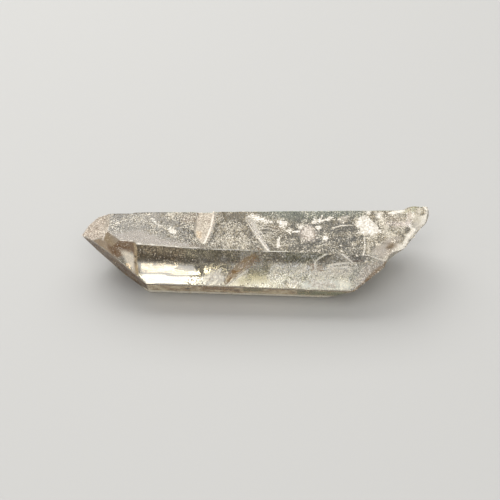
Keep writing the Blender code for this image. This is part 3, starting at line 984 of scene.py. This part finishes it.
@dataclass
class CrystalBody:
    """The clear crystal: the CAD solid with worn edges, growth relief and marks for its finish."""

    weld_mm: float = 0.002
    voxel_mm: float = 0.20
    swell_mm: float = 0.012
    sugar_depth_mm: float = 0.045
    worn_depth_mm: float = 0.07
    broken_depth_mm: float = 0.10
    ground: str = "#f2ecdf"
    ground_milk: float = 0.08
    finish: ClearQuartz = ClearQuartz()

    def build(self) -> bpy.types.Object:
        """Model the body, dress it and let it stand for the CAD node.

        Returns:
            The finished piece.
        """
        body = link_object("crystal_body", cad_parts[NODE].data.copy())
        body.data.materials.clear()
        select_only(body)
        bpy.ops.object.mode_set(mode="EDIT")
        bpy.ops.mesh.select_all(action="SELECT")
        bpy.ops.mesh.remove_doubles(threshold=self.weld_mm * MM)
        bpy.ops.object.mode_set(mode="OBJECT")
        guide = link_object("exact_faces", body.data.copy())
        apply_modifier(body, "REMESH", mode="VOXEL", voxel_size=self.voxel_mm * MM)
        apply_modifier(body, "SHRINKWRAP", target=guide, wrap_method="NEAREST_SURFACEPOINT")
        apply_modifier(body, "SMOOTH", factor=0.5, iterations=2)
        bpy.data.objects.remove(guide)
        self.weather(body.data)
        select_only(body)
        bpy.ops.object.shade_smooth()
        settle(body, self.finish.material())
        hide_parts(NODE)
        return body

    def weather(self, mesh: bpy.types.Mesh) -> None:
        """Sink the fine relief into the skin and mark its frost, its sugar and its tint.

        Args:
            mesh: the body's mesh.
        """
        points = to_axis(read_vectors(mesh.vertices, "co"))
        normals = read_vectors(mesh.vertices, "normal")
        at = Sites(points, normals)
        sugar = self.sugar(at)
        broken = broken_share(at)
        worn = (1.0 - any_face(at)) * (1.0 - broken)
        swell = self.swell_mm * SWELL.at(points)
        fine = FINE_RELIEF.at(points)
        coarse = COARSE_RELIEF.at(points)
        depth = swell + self.sugar_depth_mm * sugar * fine
        depth += self.worn_depth_mm * worn * coarse
        depth += self.broken_depth_mm * broken * (0.55 * coarse + 0.45 * fine)
        moved = to_model(points - normals * depth[:, None])
        mesh.vertices.foreach_set("co", moved.ravel())
        mesh.update()
        tint, milk = self.tint_and_milk(at)
        mark(mesh, "sugar", np.clip(0.06 + sugar, 0.0, 1.0))
        mark(mesh, "frost", np.clip(self.frost(at, sugar), 0.0, 1.0))
        mark(mesh, "tint", tint)
        mark(mesh, "milk", milk)

    def sugar(self, at: Sites) -> np.ndarray:
        """How sugary the skin is.

        Args:
            at: the skin's sites.

        Returns:
            One share for each point, from 0 to 1.
        """
        patches = SUGAR_PATCHES.at(at.points)
        patches += 0.5 * np.maximum(DENSE_SUGAR.weight(at), BACK_SUGAR.weight(at))
        patches -= 0.4 * SMOOTH_TOP.weight(at)
        top = Face.TOP.weight(at) * np.clip(patches + 0.1, 0.0, 1.0)
        top *= 1.0 - 0.9 * LILAC_SHEEN_BAND.weight(at)
        front = Face.FRONT_UPPER.weight(at) * np.clip(0.4 * patches, 0.0, 1.0)
        front *= 1.0 - GLARE.weight(at)
        pale = PALE_RIGHT.weight(at) * np.clip(patches + 0.35, 0.0, 1.0)
        crust = Face.RHOMB_TOP.weight(at)
        hidden = 0.25 * np.clip(patches, 0.0, 1.0) * smoothstep(-9.0, 2.0, at.points[:, 0])
        low = Face.BACK_LOWER.weight(at) + Face.BASE.weight(at) + Face.BACK_UPPER.weight(at)
        rest = [SCAR.weight(at), crust, top, front, pale, 0.8 * broken_share(at)]
        return np.max(rest + [hidden * low], axis=0)

    def frost(self, at: Sites, sugar: np.ndarray) -> np.ndarray:
        """How frosted the skin is.

        Args:
            at: the skin's sites.
            sugar: how sugary the skin is there.

        Returns:
            One share for each point, from 0 for gloss to 1.
        """
        crust = np.maximum(Face.RHOMB_TOP.weight(at), SCAR.weight(at))
        hidden = smoothstep(-11.0, -4.0, at.points[:, 0])
        low = Face.BACK_LOWER.weight(at) + Face.BASE.weight(at)
        strip = Face.RHOMB_FRONT.weight(at)
        return 0.03 + 0.35 * sugar + 0.6 * crust + 0.3 * broken_share(at) + 0.25 * hidden * low + strip

    def tint_and_milk(self, at: Sites) -> tuple[np.ndarray, np.ndarray]:
        """Lay all the coats over each other.

        Args:
            at: the skin's sites.

        Returns:
            The linear colour of the skin at each site, and the share of light that it scatters.
        """
        colour = np.tile(np.array(linear(self.ground)), (len(at.points), 1))
        milk = np.full(len(at.points), self.ground_milk)
        broken = broken_share(at)
        edges = 1.0 - any_face(at)
        mottle = np.clip(STAIN_MOTTLE.at(at.points), 0.0, 1.0)
        layers = [
            ("#a09372", 0.08, Face.TOP.weight(at)),
            # Painted shade: the back lower face, seen through the front, is darkened for the shadowed floor
            # behind.
            ("#4a3b26", 0.10, Face.BACK_LOWER.weight(at) * (0.5 + 0.5 * mottle)),
            ("#5c3c1b", 0.90, Face.RHOMB_FRONT.weight(at) * (0.75 + 0.25 * mottle)),
            # The lower front face's tan stain, painted paler for the light that hardly reaches this
            # down-facing face.
            ("#f2e0bb", 0.90, Face.FRONT_LOWER.weight(at)),
            ("#a27842", 0.60, Face.FRONT_LOWER.weight(at) * (1.0 - mottle)),
            ("#bfa88c", 0.60, Face.SMALL_FRONT.weight(at)),
            # Painted shade: the dark band of the upper front face.
            ("#8f7c62", 0.06, PAINTED_SHADE_BAND.weight(at) * Face.FRONT_UPPER.weight(at)),
            ("#84917b", 0.10, GREEN_EDGE.weight(at)),
            # Painted light: the olive glow.
            ("#bfb791", 0.18, OLIVE_GLOW.weight(at)),
            ("#bba896", 0.85, Face.RHOMB_TOP.weight(at)),
            ("#6f5b48", 0.85, Face.RHOMB_TOP.weight(at) * (1.0 - mottle)),
            ("#99866b", 0.80, Face.TRIGONAL_FRONT.weight(at)),
            # Painted sheen: the pale coat of the lilac band.
            ("#b3a694", 0.40, LILAC_SHEEN_BAND.weight(at)),
            ("#b3a592", 0.85, SCAR.weight(at)),
            ("#96866f", 0.80, SCAR.weight(at) * (1.0 - mottle)),
            ("#bdbca6", 0.20, PALE_RIGHT.weight(at) * mottle),
            ("#d0c4b2", 0.40, 0.8 * broken * mottle),
            ("#ebe2d2", 0.55, 0.8 * edges * (1.0 - broken)),
            ("#fdf7ea", 0.92, edge_share(at, 60.0) * (0.35 + 0.65 * mottle)),
            # A painted highlight along the back edge of the top face.
            ("#cfdccd", 0.80, edge_share(at, 120.0)),
        ]
        layers += [(item.shade, item.milk, item.weight(at, mottle)) for item in COATS]
        for shade, share, weight in layers:
            colour += weight[:, None] * (np.array(linear(shade)) - colour)
            milk += weight * (share - milk)
        return colour, milk


# The points of one grain, and its faces as triangles of point numbers.
Template = tuple[np.ndarray, np.ndarray]


def grain_template() -> Template:
    """One tooth-like grain, a unit across, modelled once.

    Returns:
        Its points, and its faces as triangles of point numbers.
    """
    bpy.ops.object.select_all(action="DESELECT")
    bpy.ops.mesh.primitive_cone_add(vertices=5, radius1=0.5, radius2=0.0, depth=0.7, location=(0, 0, 0))
    grain = bpy.context.object
    bpy.context.tool_settings.mesh_select_mode = (True, False, False)
    for vertex in grain.data.vertices:
        vertex.select = vertex.co.z > 0
    bpy.ops.object.mode_set(mode="EDIT")
    bpy.ops.transform.translate(value=(0.16, 0.05, 0.0))
    bpy.ops.mesh.select_all(action="SELECT")
    bpy.ops.mesh.quads_convert_to_tris()
    bpy.ops.object.mode_set(mode="OBJECT")
    points = read_vectors(grain.data.vertices, "co")
    faces = np.array([tuple(face.vertices) for face in grain.data.polygons])
    bpy.data.objects.remove(grain)
    return points, faces


@dataclass(frozen=True)
class GrainField:
    """One crust of grains: how many, how large, how sunk, and its mix of tones.

    Sink is given in fifths of a grain's size. Lean is how far a grain tips over at random, and
    stretch is its change of form. The higher the bias, the more small grains there are.
    """

    name: str
    finish: MineralGrain
    count: int
    size_mm: tuple[float, float]
    tones: tuple[tuple[float, float, float], ...]
    seed: int
    sink: float = 0.5
    flatness: float = 1.0
    lean: float = 0.22
    stretch: tuple[float, float] = (0.7, 1.35)
    bias: float = 1.5

    def build(self, skin: Skin, density: np.ndarray, template: Template) -> bpy.types.Object:
        """Spread the grains over the skin and join them in one mesh.

        Args:
            skin: the skin that they sit on.
            density: one number for each face of the skin.
            template: the points and faces of one grain.

        Returns:
            The finished piece.
        """
        rng = np.random.default_rng(self.seed)
        at, outward = skin.pick(self.count, density, rng)
        shape, faces = template
        smallest, largest = self.size_mm
        sizes = smallest + (largest - smallest) * rng.uniform(0.0, 1.0, self.count) ** self.bias
        leaning = outward + rng.normal(0.0, self.lean, (self.count, 3))
        up = leaning / np.linalg.norm(leaning, axis=1)[:, None]
        across = np.cross(up, rng.normal(0.0, 1.0, (self.count, 3)))
        across /= np.linalg.norm(across, axis=1)[:, None]
        along = np.cross(up, across)
        stretch = rng.uniform(*self.stretch, (self.count, 1, 1))
        local = shape[None, :, :] * sizes[:, None, None]
        sunk = self.sink * 0.2 * sizes[:, None, None]
        points = at[:, None, :] + local[:, :, :1] * across[:, None, :] * stretch
        points = points + local[:, :, 1:2] * along[:, None, :] / stretch
        points = points + (local[:, :, 2:] * self.flatness - sunk) * up[:, None, :]
        triangles = faces[None, :, :] + np.arange(self.count)[:, None, None] * len(shape)
        mesh = bpy.data.meshes.new(self.name)
        places = in_box(to_model(points.reshape(-1, 3)))
        mesh.from_pydata(places.tolist(), [], triangles.reshape(-1, 3).tolist())
        mark(mesh, "tone", np.repeat(self.draw_tones(rng), len(shape)))
        piece = link_object(self.name, mesh)
        settle(piece, self.finish.material())
        return piece

    def draw_tones(self, rng: np.random.Generator) -> np.ndarray:
        """Draw the grains' tones from groups of share, lowest and highest tone.

        Args:
            rng: the random numbers to draw from.

        Returns:
            One tone for each grain.
        """
        shares, low, high = np.array(self.tones).T
        group = rng.choice(len(shares), size=self.count, p=shares / shares.sum())
        return rng.uniform(low[group], high[group])


# The sugar grains' dark tones are painted reflections, for tiny facets that mirror dark surroundings.
SUGAR = MineralGrain("sugar_quartz_druse", "#63583f", "#b5a88f", "#fcf3e2")
POINT_FROST = MineralGrain("frosted_rhomb_crust", "#6c5a48", "#b2a08c", "#fbf0e2", roughness=0.5)
IRON = MineralGrain("iron_stained_crust", "#5e3f22", "#b08a55", "#efe0bf", roughness=0.6)
TRIGONAL_FILM = MineralGrain("brown_grey_film", "#93826b", "#a6967f", "#bcae98", roughness=0.45)
# Pale grains that paint the lilac sheen of the overhead light on the top face.
LILAC_SHEEN_FILM = MineralGrain("lilac_grey_sheen_film", "#b3aaa6", "#c8bfb9", "#ddd6cf", roughness=0.45)
BREAK_GRIT = MineralGrain("broken_quartz_grit", "#7b7264", "#bdb5a8", "#f8f4ec")

# Mixes of tones: groups of share, lowest and highest tone.
BRIGHT = ((0.07, 0.0, 0.2), (0.13, 0.4, 0.75), (0.80, 0.9, 1.0))
MIXED = ((0.25, 0.0, 0.35), (0.30, 0.4, 0.7), (0.45, 0.85, 1.0))
EVEN = ((1.0, 0.2, 0.9),)


@dataclass
class GrainCrusts:
    """All the grains that sit on the skin, as a few joined pieces.

    The trace is how thickly each crust lies everywhere, so that no draw is left without a place.
    """

    crumb_reach_mm: float = 0.55
    trace: float = 1e-9
    fields: tuple[GrainField, ...] = (
        GrainField("point_frost", POINT_FROST, 3000, (0.14, 0.42), MIXED, 41, flatness=0.6),
        GrainField("point_chips", SUGAR, 260, (0.18, 0.50), BRIGHT, 52, flatness=0.6),
        GrainField("scar_frost", POINT_FROST, 1100, (0.14, 0.40), MIXED, 42, flatness=0.6),
        GrainField("sugar_top", SUGAR, 2700, (0.15, 0.56), BRIGHT, 43, sink=0.6, flatness=0.6),
        GrainField("sugar_right", SUGAR, 900, (0.16, 0.60), BRIGHT, 54, sink=0.6, flatness=0.6),
        GrainField("flake_crumbs", SUGAR, 1500, (0.12, 0.34), BRIGHT, 53, sink=0.6, flatness=0.7),
        GrainField("edge_wear", SUGAR, 3000, (0.08, 0.20), MIXED, 48, sink=0.8),
        GrainField("pale_lines", SUGAR, 1900, (0.10, 0.26), BRIGHT, 49),
        # The pale grains of the painted lilac sheen.
        GrainField("lilac_sheen_film", LILAC_SHEEN_FILM, 2600, (0.08, 0.16), EVEN, 51, sink=0.8, flatness=0.4),
        GrainField("trigonal_film", TRIGONAL_FILM, 1600, (0.08, 0.16), EVEN, 50, sink=0.8, flatness=0.4),
        GrainField("sugar_front", SUGAR, 2600, (0.12, 0.40), BRIGHT, 44, sink=0.6, flatness=0.6),
        GrainField("sugar_back", SUGAR, 2000, (0.12, 0.34), MIXED, 45),
        GrainField("break_grit", BREAK_GRIT, 3600, (0.14, 0.42), MIXED, 46, flatness=0.6),
        GrainField("iron_crust", IRON, 2600, (0.10, 0.34), MIXED, 47, flatness=0.7),
    )

    def build(self, skin: Skin, veils: Outlines) -> None:
        """Model one grain and spread the crusts.

        Args:
            skin: the skin that they sit on.
            veils: the outlines of the flakes, which have crumbs round them.
        """
        template = grain_template()
        densities = self.densities(skin, veils)
        for crust in self.fields:
            crust.build(skin, densities[crust.name] + self.trace, template)

    def densities(self, skin: Skin, veils: Outlines) -> dict[str, np.ndarray]:
        """How thickly each crust lies on each face of the skin.

        Args:
            skin: the skin that they sit on.
            veils: the outlines of the flakes.

        Returns:
            One number for each face of the skin, by the crust's name.
        """
        points = skin.centres
        at = Sites(points, skin.normals)
        cloud = np.clip(GRAIN_CLOUD.at(points), 0.02, 1.8)
        scar, lilac, smooth, green, glare, pale, corner = (
            area.weight(at)
            for area in (SCAR, LILAC_SHEEN_BAND, SMOOTH_TOP, GREEN_EDGE, GLARE, PALE_RIGHT, CORNER_STAIN)
        )
        rhomb = Face.RHOMB_TOP.weight(at)
        broken = broken_share(at)
        dense = np.maximum(DENSE_SUGAR.weight(at), BACK_SUGAR.weight(at))
        top = Face.TOP.weight(at) * (1.0 - 0.9 * lilac) * (1.0 - scar)
        top *= (1.0 - 0.75 * smooth) * (1.0 - 0.6 * green)
        top *= (cloud + 1.1 * dense + 0.08) * (0.45 + 0.55 * smoothstep(-23.0, -17.0, points[:, 0]))
        front = Face.FRONT_UPPER.weight(at) * (1.0 - glare)
        back = Face.BACK_UPPER.weight(at) + Face.BACK_LOWER.weight(at)
        back *= 0.12 + 0.88 * smoothstep(-10.0, -2.0, points[:, 0])
        back += Face.SMALL_BACK.weight(at) + Face.RHOMB_BACK.weight(at)
        iron = Face.FRONT_LOWER.weight(at) * 0.7 + Face.RHOMB_FRONT.weight(at) * 1.4
        gaps = [np.abs(inside_depth(view.flat(points), line)) / view.near(at.normals) for line, view in veils]
        near_veil = np.exp(-((np.min(gaps, axis=0) / self.crumb_reach_mm) ** 2))
        return {
            "point_frost": rhomb,
            "point_chips": rhomb * smoothstep(-28.9, -27.4, points[:, 0] - 0.35 * points[:, 1]),
            "scar_frost": scar,
            "sugar_top": top,
            "sugar_right": top * smoothstep(12.0, 17.0, points[:, 0]),
            "flake_crumbs": near_veil * (1.0 - scar),
            "edge_wear": (1.0 - any_face(at)) * (1.0 - broken),
            "pale_lines": np.max([stroke.weight(at) for stroke in PALE_LINES], axis=0),
            "lilac_sheen_film": lilac * Face.TOP.weight(at),
            "trigonal_film": Face.TRIGONAL_FRONT.weight(at),
            "sugar_front": front * cloud * (0.22 + 1.3 * pale),
            "sugar_back": back * cloud,
            "break_grit": broken * cloud,
            "iron_crust": (iron + corner * 0.1) * cloud,
        }


@dataclass(frozen=True)
class Flake:
    """A thin ragged sheet on the skin, drawn as an outline in mm from one side.

    Lace is how far holes eat into it near its rim. Root is how far its rim dips into the skin, and
    slope is how far from the rim it reaches its full lift.
    """

    name: str
    outline: Outline
    view: View = View.ABOVE
    ragged_mm: float = 0.26
    lift_mm: float = 0.06
    lace: float = 0.4
    cell_mm: float = 0.07
    thickness_mm: float = 0.03
    root_mm: float = 0.01
    slope_mm: float = 0.35

    def build(self, skin: Skin, finish: QuartzVeil) -> bpy.types.Object:
        """Model the flake on the skin.

        Args:
            skin: the skin that it lies on.
            finish: what it is made of.

        Returns:
            The finished piece.
        """
        corners = np.array(self.outline)
        low, high = corners.min(axis=0) - self.cell_mm, corners.max(axis=0) + self.cell_mm
        counts = np.ceil((high - low) / self.cell_mm).astype(int)
        piece = fresh_grid(self.name, int(counts[0]), int(counts[1]))
        keep_faces(piece, self.depth(low + grid_shares(piece) * (high - low)) > 0.0)
        flat = low + grid_shares(piece) * (high - low)
        landed, outward = skin.drape(flat, self.view)
        inset = np.maximum(self.depth(flat), 0.0)
        rise = self.lift_mm * smoothstep(0.0, self.slope_mm, inset) * FLAKE_LIFT.at(landed) - self.root_mm
        mesh = piece.data
        mesh.vertices.foreach_set("co", in_box(to_model(landed + outward * rise[:, None])).ravel())
        mark(mesh, "inset_mm", inset)
        mesh.update()
        if self.view is View.FRONT:
            mesh.flip_normals()
        apply_modifier(piece, "SOLIDIFY", thickness=self.thickness_mm * MM, offset=-1.0)
        settle(piece, finish.material())
        return piece

    def depth(self, flat: np.ndarray) -> np.ndarray:
        """How far inside the flake's ragged rim each flat point lies.

        Args:
            flat: n points of 2 numbers, in mm.

        Returns:
            One distance in mm for each point, negative outside and in the holes near the rim.
        """
        deep = np.column_stack((flat, np.zeros(len(flat))))
        holes = self.lace * smoothstep(0.05, 0.4, FLAKE_HOLES.at(deep))
        rag = self.ragged_mm * FLAKE_RIM.at(deep) - holes
        return inside_depth(flat, self.outline) + rag


@dataclass
class WhiteVeils:
    """The white, feathery and pinkish flakes on the top and front faces."""

    milky: QuartzVeil = QuartzVeil("milky_quartz_flake", "#e9e4d9", "#b7ae9f", "#d9d0c0")
    pinkish: QuartzVeil = QuartzVeil("pinkish_quartz_flake", "#d6cdc1", "#9d9182", "#7c6342", rim_mm=0.3)
    milky_flakes: tuple[Flake, ...] = (
        Flake(
            "great_flake",
            (
                (19.4, 1.8), (20.2, 2.7), (20.8, 4.1), (22.0, 4.4), (22.7, 3.6), (23.4, 2.5), (24.2, 0.9),
                (25.1, -0.4), (23.6, -0.7), (22.8, -1.3), (21.7, -1.1), (20.8, -0.8), (20.0, -0.6),
                (20.5, 0.5),
            ),
            lift_mm=0.12, lace=0.12,
        ),
        Flake(
            "feather_star",
            (
                (11.6, 2.0), (11.9, 3.6), (12.6, 2.7), (13.4, 4.3), (13.9, 4.3), (13.9, 3.0), (15.0, 4.0),
                (15.9, 3.6), (14.9, 2.4), (13.5, 2.0), (12.2, 1.3),
            ),
        ),
        Flake("triangle_flake", ((11.9, 1.1), (13.8, 1.2), (12.9, -0.4)), ragged_mm=0.12, lace=0.0),
        Flake(
            "blob_flake",
            ((13.4, -1.9), (14.2, -1.4), (14.9, -2.1), (14.4, -3.0), (13.5, -2.8)),
            ragged_mm=0.14, lace=0.0,
        ),
        Flake(
            "hook_flake",
            (
                (5.0, -5.2), (4.8, -4.1), (5.0, -2.5), (5.4, -1.7), (6.3, -1.8), (5.8, -2.7), (5.6, -3.8),
                (6.1, -5.3),
            ),
            ragged_mm=0.16,
        ),
        Flake(
            "streak_flake",
            ((6.3, -0.3), (7.3, 0.3), (8.2, -0.1), (9.8, -0.3), (9.5, -1.0), (7.9, -1.1), (7.1, -0.8)),
        ),
        Flake("small_leaf_flake", ((8.7, 0.6), (9.6, 1.5), (10.3, 0.8), (9.7, -0.2))),
        Flake(
            "flower_veil_left",
            ((-0.8, 3.4), (1.1, 4.0), (3.4, 2.7), (4.6, 1.8), (4.1, 1.2), (2.2, 1.4), (0.9, 1.9)),
            ragged_mm=0.5,
        ),
        Flake(
            "flower_veil_right",
            ((5.0, 2.5), (6.2, 2.8), (7.5, 1.9), (7.1, 0.6), (5.8, 0.3), (5.1, 1.3)),
            ragged_mm=0.45,
        ),
        Flake(
            "left_leaf_flake",
            ((-19.0, 1.9), (-18.3, 2.3), (-17.5, 0.9), (-16.4, 0.1), (-16.8, -0.7), (-17.9, 0.5)),
            ragged_mm=0.3,
        ),
        Flake(
            "middle_leaf_flake",
            ((-15.4, -0.5), (-14.4, 0.0), (-13.5, -1.3), (-14.1, -2.5), (-15.2, -1.6)),
            ragged_mm=0.4,
        ),
        Flake(
            "front_streak_long",
            ((-8.4, 6.0), (-6.8, 7.9), (-5.2, 9.0), (-5.0, 8.6), (-6.2, 7.3), (-7.4, 6.0)),
            View.FRONT, ragged_mm=0.16,
        ),
        Flake(
            "front_streak_short",
            ((-6.4, 6.2), (-5.6, 7.2), (-4.8, 8.0), (-4.5, 7.4), (-5.2, 6.2)),
            View.FRONT, ragged_mm=0.16,
        ),
        Flake(
            "front_pale_patch",
            ((11.0, 7.0), (13.2, 7.4), (16.4, 6.9), (16.0, 5.9), (11.6, 5.9)),
            View.FRONT, ragged_mm=0.5,
        ),
    )
    pinkish_flakes: tuple[Flake, ...] = (
        Flake(
            "round_flake",
            (
                (9.3, -1.0), (9.7, 0.2), (10.7, 1.1), (11.7, 0.6), (12.3, -0.8), (12.1, -2.2), (11.0, -3.0),
                (9.9, -2.5),
            ),
            ragged_mm=0.2, lift_mm=0.09, lace=0.5,
        ),
        Flake(
            "front_blob_left",
            ((11.2, 9.9), (11.9, 9.9), (12.0, 8.9), (11.4, 8.8)),
            View.FRONT, ragged_mm=0.1,
        ),
        Flake(
            "front_blob_right",
            ((12.3, 9.7), (13.5, 9.8), (13.7, 8.8), (12.5, 8.6)),
            View.FRONT, ragged_mm=0.1,
        ),
    )

    def outlines(self) -> Outlines:
        """Each flake's outline and the side that it is drawn from."""
        return tuple((flake.outline, flake.view) for flake in self.milky_flakes + self.pinkish_flakes)

    def build(self, skin: Skin) -> None:
        """Model every flake.

        Args:
            skin: the skin that they lie on.
        """
        for finish, flakes in ((self.milky, self.milky_flakes), (self.pinkish, self.pinkish_flakes)):
            for flake in flakes:
                flake.build(skin, finish)


@dataclass
class IronFracture:
    """A healed crack inside the crystal, brown with iron, that starts at the upper front face."""

    name: str = "iron_fracture"
    mouth: Outline = ((-4.3, 6.0), (-3.2, 7.0), (-1.6, 8.1), (0.2, 9.2), (1.9, 10.1), (2.9, 10.8))
    inward: tuple[float, float, float] = (-0.9, 2.4, 0.15)
    columns: int = 70
    rows: int = 22
    crumple_mm: float = 0.22
    thickness_mm: float = 0.03
    finish: MineralGrain = MineralGrain(
        "iron_in_healed_crack", "#a37434", "#cf9f5a", "#e4c592", roughness=0.6
    )

    def build(self, skin: Skin) -> bpy.types.Object:
        """Model the crack as a lacy crumpled sheet that runs in from its mouth.

        Args:
            skin: the skin that it starts at.

        Returns:
            The finished piece.
        """
        piece = fresh_grid(self.name, self.columns, self.rows)
        across, inward = grid_shares(piece).T
        corners = np.array(self.mouth)
        steps = np.linspace(0.0, 1.0, len(corners))
        flat = np.column_stack([np.interp(across, steps, corners[:, i]) for i in (0, 1)])
        landed, _ = skin.drape(flat, View.FRONT)
        reach = 0.03 + inward * (0.7 + 0.3 * np.sin(across * 9.0))
        points = landed + reach[:, None] * np.array(self.inward)
        wrinkle = FRACTURE_CRUMPLE.at(points)
        points[:, 2] += self.crumple_mm * wrinkle * smoothstep(0.0, 0.25, inward)
        lace = FRACTURE_LACE.at(points)
        mesh = piece.data
        mesh.vertices.foreach_set("co", in_box(to_model(points)).ravel())
        keep_faces(piece, lace > 0.02 - 0.3 * (1.0 - inward))
        left = to_axis(read_vectors(mesh.vertices, "co"))
        mark(mesh, "tone", np.clip(FRACTURE_TONE.at(left), 0.0, 1.0))
        apply_modifier(piece, "SOLIDIFY", thickness=self.thickness_mm * MM, offset=-1.0)
        settle(piece, self.finish.material())
        return piece


@dataclass(frozen=True)
class Softbox:
    """A rectangular light with level long sides, held square to the crystal.

    Its place is given by its pitch over the floor and its distance from the crystal's middle,
    to the back, or to the front where the pitch is over 90 degrees.
    """

    name: str
    pitch: float
    distance: float
    left: float
    right: float
    height: float
    radiance: float
    mirrored: bool = True

    # Blender's area light gives this many watts for each square metre and unit of radiance.
    WATTS = 4.0

    def build(self, target: Vector) -> None:
        """Hang the light, facing the target.

        Args:
            target: the point that it lights, in metres.
        """
        width = self.right - self.left
        light = bpy.data.lights.new(self.name, "AREA")
        light.shape = "RECTANGLE"
        light.size = width
        light.size_y = self.height
        light.energy = self.WATTS * width * self.height * self.radiance
        lamp = link_object(self.name, light)
        pitch = math.radians(self.pitch)
        away = Vector((0.0, math.cos(pitch), math.sin(pitch))) * self.distance
        lamp.location = target + away + Vector(((self.left + self.right) / 2, 0.0, 0.0))
        lamp.rotation_euler = (pitch - math.pi / 2, 0.0, 0.0)
        lamp.visible_glossy = self.mirrored
        lamp.visible_diffuse = self.mirrored


@dataclass
class Studio:
    """The plain pale floor, the soft lights and the camera."""

    azimuth: float = -1.0
    elevation: float = 45.0
    distance_mm: float = 235.0
    lens_mm: float = 88.7
    sensor_mm: float = 36.0
    ambient: float = 0.42
    floor_colour: str = "#b4b3b0"
    floor_size: float = 4.0
    floor_gap_mm: float = 0.05
    softboxes: tuple[Softbox, ...] = (
        Softbox("overhead_back_left", 55.0, 0.42, -0.36, -0.022, 0.36, 3.2),
        Softbox("overhead_back_right", 55.0, 0.42, -0.012, 0.33, 0.36, 1.3),
        Softbox("front_strip", 166.0, 0.40, -0.016, 0.024, 0.11, 15.0, mirrored=False),
        Softbox("front_low_card", 167.0, 0.40, 0.024, 0.20, 0.15, 0.6),
        Softbox("front_fill", 118.0, 0.55, -0.25, 0.25, 0.40, 2.2),
    )

    def build(self) -> None:
        """Set up the floor, the lights, the world and the camera."""
        self.floor()
        target = Vector(to_model(np.array((0.0, 0.0, AXIS_HEIGHT))))
        for softbox in self.softboxes:
            softbox.build(target)
        world = bpy.data.worlds.new("studio")
        world.use_nodes = True
        tree = world.node_tree
        plug(tree, tree.nodes["Background"], {"Color": (1.0, 1.0, 1.0, 1.0), "Strength": self.ambient})
        bpy.context.scene.world = world
        bpy.context.scene.view_settings.view_transform = "Standard"
        self.camera(target)

    def floor(self) -> None:
        """A pale matt floor, a hair below the face that the crystal rests on."""
        bpy.ops.object.select_all(action="DESELECT")
        bpy.ops.mesh.primitive_plane_add(size=self.floor_size, location=(0, 0, -self.floor_gap_mm * MM))
        floor = bpy.context.object
        floor.name = "floor"
        material, tree, shader = fresh_material("pale_matt_floor")
        plug(tree, shader, {"Base Color": linear(self.floor_colour), "Roughness": 0.8})
        floor.data.materials.append(material)

    def camera(self, target: Vector) -> None:
        """A camera that looks down on the crystal from the front.

        Args:
            target: the point that it looks at, in metres.
        """
        turn, down = math.radians(self.azimuth), math.radians(self.elevation)
        level = math.cos(down)
        forward = Vector((math.sin(turn) * level, math.cos(turn) * level, -math.sin(down)))
        lens = bpy.data.cameras.new("camera")
        lens.lens = self.lens_mm
        lens.sensor_width = self.sensor_mm
        lens.clip_start = 0.01
        eye = link_object("camera", lens)
        eye.location = target - forward * self.distance_mm * MM
        eye.rotation_euler = forward.to_track_quat("-Z", "Y").to_euler()
        bpy.context.scene.camera = eye


def main() -> None:
    """Build the object's pieces in order, then the studio round them."""
    logging.basicConfig(level=logging.INFO, format="%(name)s: %(message)s")
    skin = Skin.of(CrystalBody().build())
    veils = WhiteVeils()
    GrainCrusts().build(skin, veils.outlines())
    veils.build(skin)
    IronFracture().build(skin)
    Studio().build()


if __name__ == "__main__":
    main()
